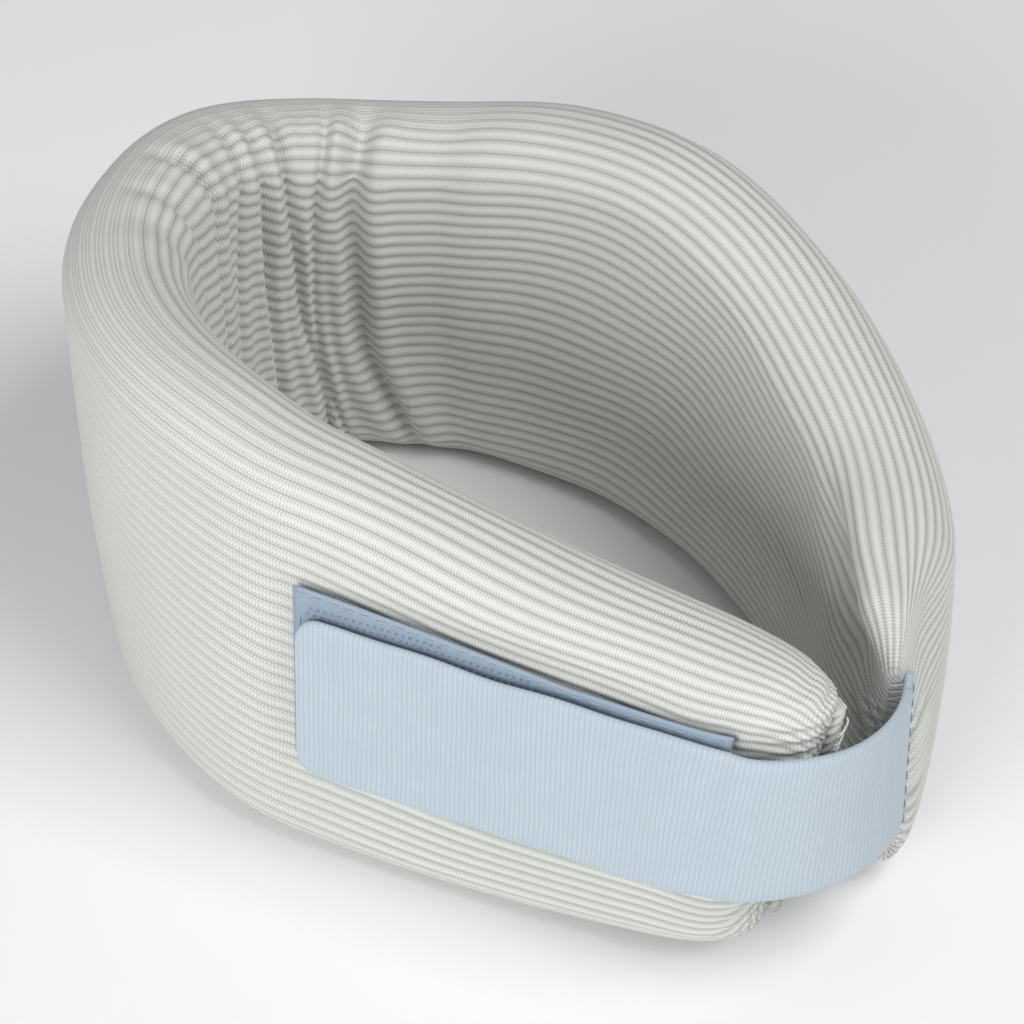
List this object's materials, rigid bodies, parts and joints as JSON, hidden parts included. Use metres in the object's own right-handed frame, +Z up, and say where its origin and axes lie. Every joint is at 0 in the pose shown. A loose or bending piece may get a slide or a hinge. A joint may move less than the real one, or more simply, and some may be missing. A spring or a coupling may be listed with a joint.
{
  "type": "cervical collar",
  "caption": "Soft foam neck collar in a ribbed knitted sleeve, bent to a loop with gathered ends and closed by a hook-and-loop strap.",
  "frame": {"origin": "centre of the object's box, on the surface that the collar stands on", "axes": "+Z up, from the lower edge to the upper edge; +X from the tight bend at the chin side towards the closing; -Y is the side where the strap lies on the near wing"},
  "size_m": [0.202, 0.1495, 0.0993],
  "materials": {
    "foam": "open-cell polyurethane foam",
    "knit": "rib-knit cotton stockinette, pale grey green",
    "thread": "twisted cotton thread",
    "hook_tape": "woven nylon tape, slate blue",
    "hooks": "nylon monofilament hooks",
    "tape_thread": "polyester sewing thread",
    "strap": "brushed loop webbing, pale blue",
    "strap_thread": "polyester sewing thread"
  },
  "bodies": {
    "collar": {"foam_core_back": "foam", "sleeve_back": "knit", "far_end_thread": "thread", "strap_root": "strap", "strap_root_thread": "strap_thread"},
    "near_wing": {"foam_core_wing": "foam", "sleeve_wing": "knit", "near_end_thread": "thread", "hook_tape": "hook_tape", "hook_pile": "hooks", "tape_thread": "tape_thread"},
    "strap": {"strap_band": "strap"},
    "strap_tip": {"strap_tip": "strap"}
  },
  "joints": [
    {"name": "strap_swing", "type": "hinge", "parent": "collar", "child": "strap", "pos_m": [0.09786, -0.03526, 0.0475], "axis": [0, 0, 1], "range_deg": [0, 120]},
    {"name": "strap_tip_peel", "type": "hinge", "parent": "strap", "child": "strap_tip", "pos_m": [0.02697, -0.07281, 0.0475], "axis": [-0.0008, 0.0767, 0.9971], "range_deg": [0, 75]},
    {"name": "collar_flex", "type": "hinge", "parent": "collar", "child": "near_wing", "pos_m": [-0.09667, 0.04019, 0.05], "axis": [0, 0, -1], "range_deg": [0, 24]}
  ],
  "couplings": [
    {"joint": "collar_flex", "follows": "strap_swing", "ratio": 0.2}
  ]
}
